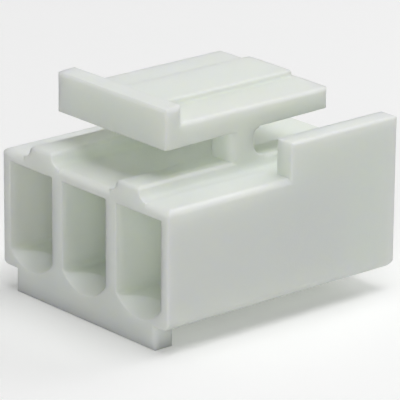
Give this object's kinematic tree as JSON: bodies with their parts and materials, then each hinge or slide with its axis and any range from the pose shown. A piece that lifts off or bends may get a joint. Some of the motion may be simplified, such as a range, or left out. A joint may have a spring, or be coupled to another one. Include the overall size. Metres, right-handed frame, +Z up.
{
  "type": "wire to board connector housing",
  "caption": "Moulded nylon crimp contact housing: a row of open cavities, a low lip, side cheeks and a thumb lever with a locking claw.",
  "frame": {"origin": "under the middle of the housing, on the plane of the lip's underside", "axes": "+X across the circuits, +Y along the contacts from the wire face to the mating face, +Z up from the underside to the lever"},
  "size_m": [0.0122, 0.014, 0.011],
  "materials": {
    "natural_nylon": "natural white nylon, satin as moulded, slightly translucent"
  },
  "bodies": {
    "root": {"housing": "natural_nylon"}
  },
  "joints": []
}
